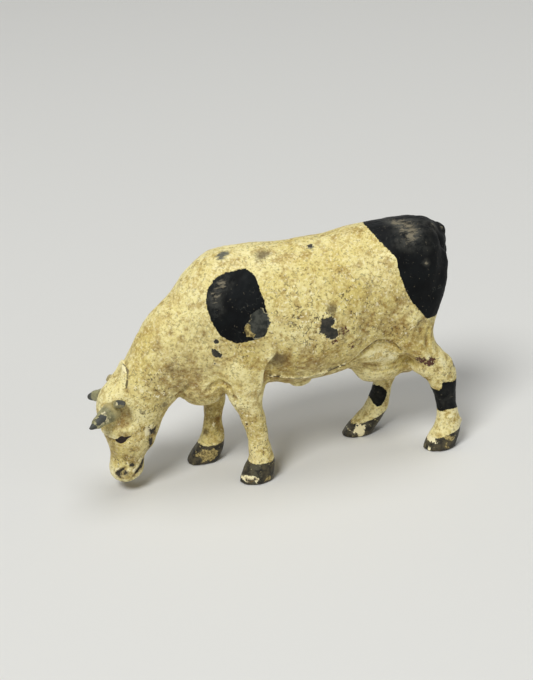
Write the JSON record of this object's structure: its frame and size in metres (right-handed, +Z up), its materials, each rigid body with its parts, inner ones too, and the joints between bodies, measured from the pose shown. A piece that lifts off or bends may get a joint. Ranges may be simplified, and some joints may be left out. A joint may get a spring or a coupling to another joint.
{
  "type": "cow figurine",
  "caption": "Painted cast-metal grazing cow in two riveted hollow halves, with pegged horns and ears and a separate tail, standing free on its hooves.",
  "frame": {"origin": "middle of the figure on the surface that it stands on", "axes": "+Z up, the cow looks along -X, its left side is at -Y"},
  "size_m": [0.1392, 0.041, 0.0896],
  "materials": {
    "enamel": "crazed cream enamel with black patches, worn and chipped",
    "rivet": "worn dark metal under remains of paint",
    "horn": "olive grey enamel with dark worn tips",
    "ear": "cream enamel with chips at the edge",
    "tail": "satin black enamel, rubbed"
  },
  "bodies": {
    "root": {"left_casting": "enamel", "right_casting": "enamel", "front_rivet": "rivet", "rear_rivet": "rivet", "left_horn": "horn", "right_horn": "horn", "left_ear": "ear", "right_ear": "ear", "tail": "tail"}
  },
  "joints": []
}
